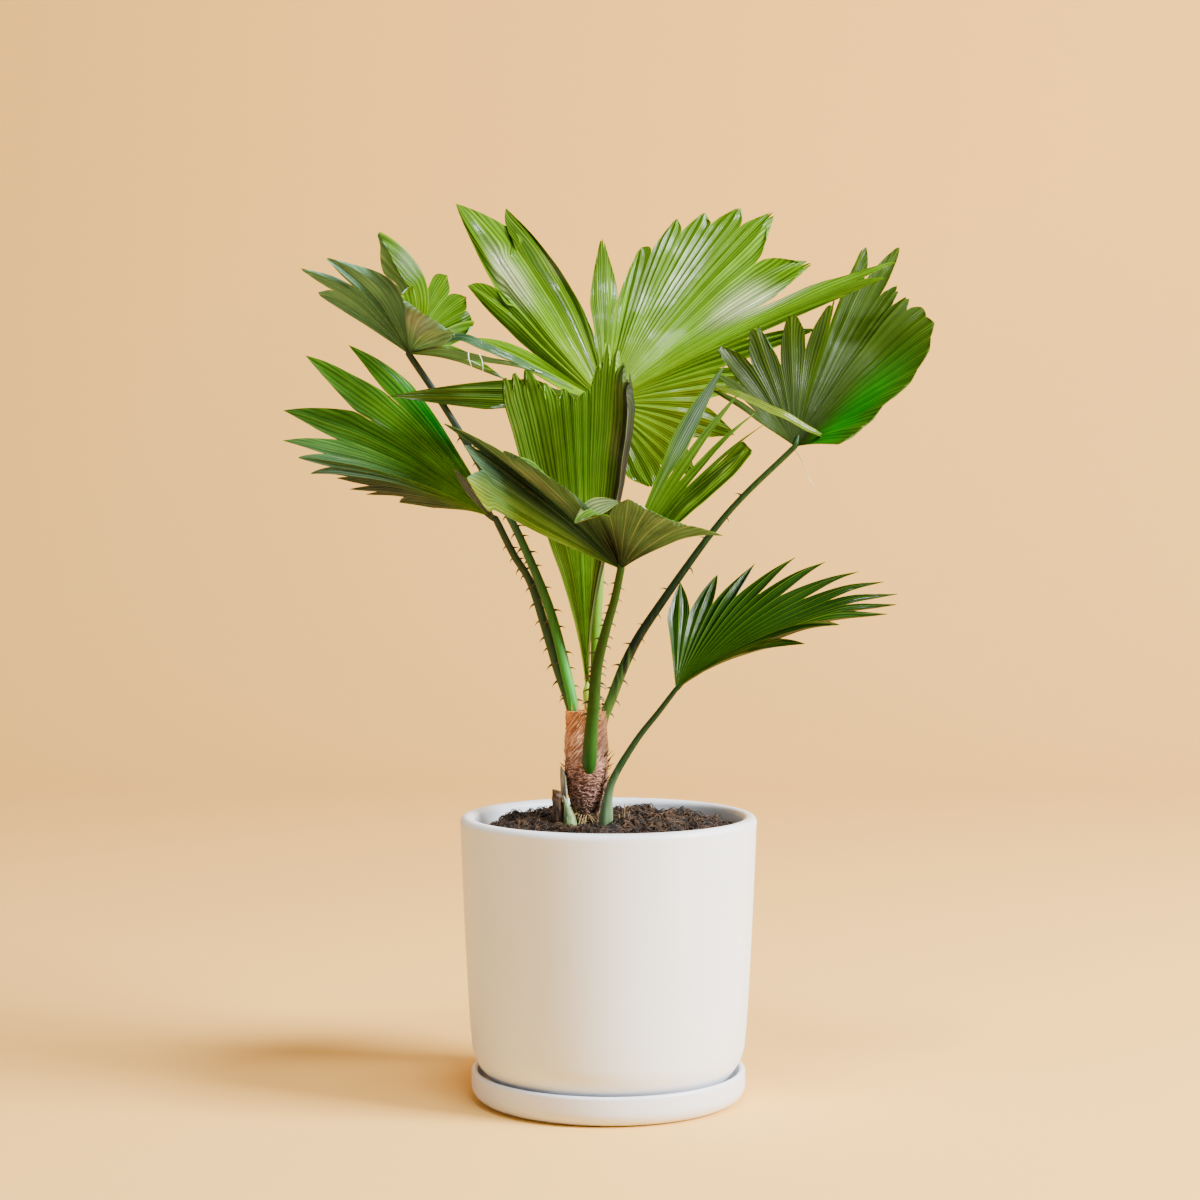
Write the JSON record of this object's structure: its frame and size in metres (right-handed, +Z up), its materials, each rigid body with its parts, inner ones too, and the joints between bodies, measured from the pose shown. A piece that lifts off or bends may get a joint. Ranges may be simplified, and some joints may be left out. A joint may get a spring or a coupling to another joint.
{
  "type": "potted fan palm",
  "caption": "Young fan palm with pleated, split fan fronds on thin spined stalks, rising from a fibrous bulb in a plain round ceramic pot on a saucer.",
  "frame": {"origin": "centre of the saucer's flat underside, on the pot's axis", "axes": "+Z up along the pot's axis, -Y towards the front of the plant, +X to the plant's right as seen from the front"},
  "size_m": [0.2275, 0.1427, 0.3132],
  "materials": {
    "saucer_glaze": "satin",
    "pot_glaze": "satin",
    "potting_mix": "matte",
    "fibrous_bark": "matte",
    "dry_sheath": "matte",
    "dead_stub": "matte",
    "green_stem": "satin",
    "bright_leaf": "satin",
    "dark_leaf": "satin",
    "olive_leaf": "satin",
    "pale_leaf": "satin"
  },
  "bodies": {
    "root": {"saucer": "saucer_glaze", "pot": "pot_glaze", "soil": "potting_mix", "trunk": "fibrous_bark", "old_sheath": "dry_sheath", "cut_stub": "dead_stub", "young_shoot": "green_stem", "frond_upper_left": "pale_leaf", "frond_left": "dark_leaf", "frond_back": "bright_leaf", "frond_young": "bright_leaf", "frond_front": "pale_leaf", "frond_right": "olive_leaf", "frond_low_right": "dark_leaf"}
  },
  "joints": []
}
